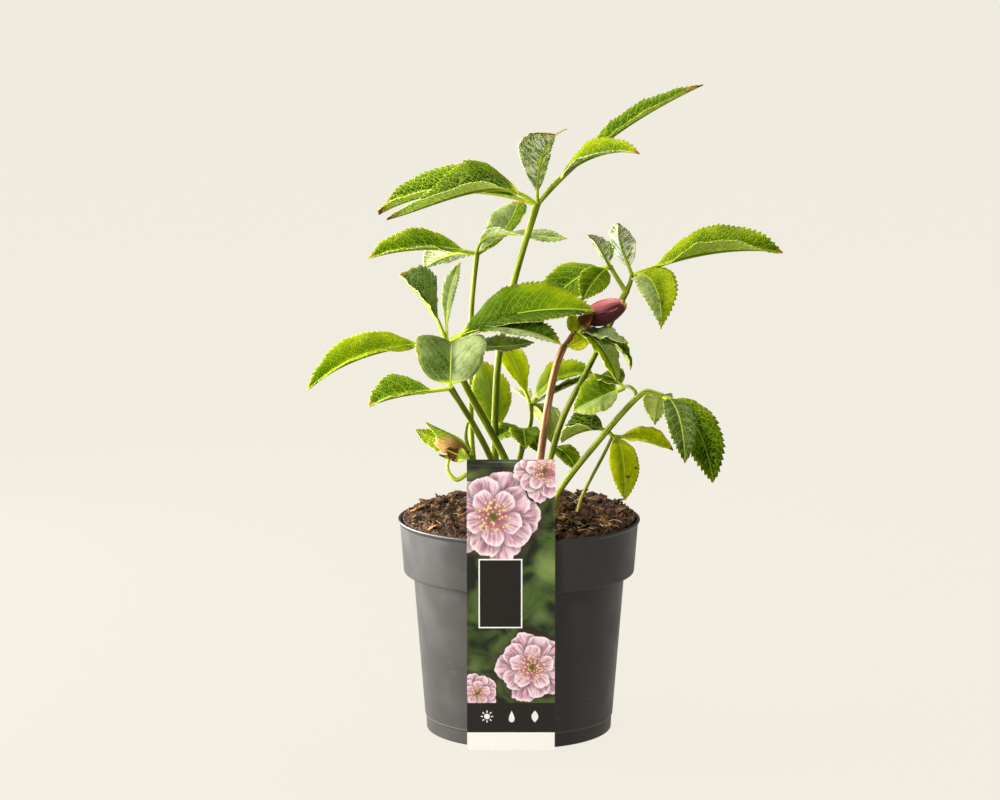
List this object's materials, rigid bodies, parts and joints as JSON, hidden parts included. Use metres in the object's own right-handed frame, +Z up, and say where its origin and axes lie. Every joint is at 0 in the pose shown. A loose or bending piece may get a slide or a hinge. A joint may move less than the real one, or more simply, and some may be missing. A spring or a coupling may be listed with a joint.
{
  "type": "hellebore plant",
  "caption": "Potted hellebore: saw-toothed divided leaves on long stalks round a stalk with a closed purple bud, in a filled grey nursery pot with a stick label.",
  "frame": {"origin": "centre of the pot's flat floor face, on the surface that the pot stands on", "axes": "+Z up along the pot's axis, -Y towards the label and the front, +X to the right seen from the front"},
  "size_m": [0.2519, 0.1478, 0.3467],
  "materials": {
    "pot_plastic": "satin moulded, faint scuffs",
    "soil": "coarse moist potting mix with bark and fibres",
    "crown": "rough root bark",
    "label": "printed, semi-gloss",
    "leaf": "satin leathery, net-veined",
    "flower_stalk": "satin, finely ribbed",
    "flower_bud": "satin, finely streaked",
    "bract": "satin, veined",
    "side_bud": "satin, streaked"
  },
  "bodies": {
    "root": {"pot": "pot_plastic", "soil": "soil", "crown": "crown", "label": "label", "leaf_top": "leaf", "leaf_upper_left": "leaf", "leaf_left": "leaf", "leaf_front_left": "leaf", "leaf_right": "leaf", "leaf_mid_back": "leaf", "leaf_behind_petiole": "leaf", "leaf_low_mid": "leaf", "leaf_low_right": "leaf", "leaf_arched": "leaf", "leaf_spotted": "leaf", "flower_stalk": "flower_stalk", "flower_bud": "flower_bud", "flower_bracts": "bract", "side_bud": "side_bud", "side_bud_bracts": "bract"}
  },
  "joints": []
}
